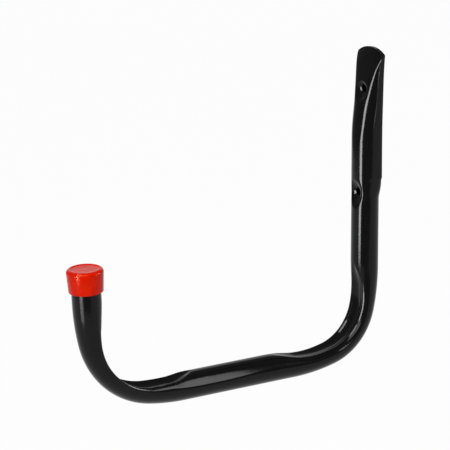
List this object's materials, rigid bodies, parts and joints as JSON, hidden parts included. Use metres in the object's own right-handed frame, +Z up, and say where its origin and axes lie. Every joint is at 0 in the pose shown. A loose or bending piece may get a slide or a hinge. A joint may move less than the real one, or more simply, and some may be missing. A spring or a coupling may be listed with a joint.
{
  "type": "garage utility hook",
  "caption": "Bent tubular wall hook with a flattened, pierced mounting end, crushed bends and a moulded cap on its upturned tip, for hanging tools.",
  "frame": {"origin": "on the wall plane, midway between the two screw holes", "axes": "+Z up along the wall, +Y into the wall, +X to the right seen from the front; the hook reaches out along -Y"},
  "size_m": [0.029, 0.254, 0.2315],
  "materials": {
    "black_coat": "gloss black coat on steel tube",
    "red_vinyl": "soft gloss moulded vinyl"
  },
  "bodies": {
    "root": {"hook_tube": "black_coat", "end_cap": "red_vinyl"}
  },
  "joints": []
}
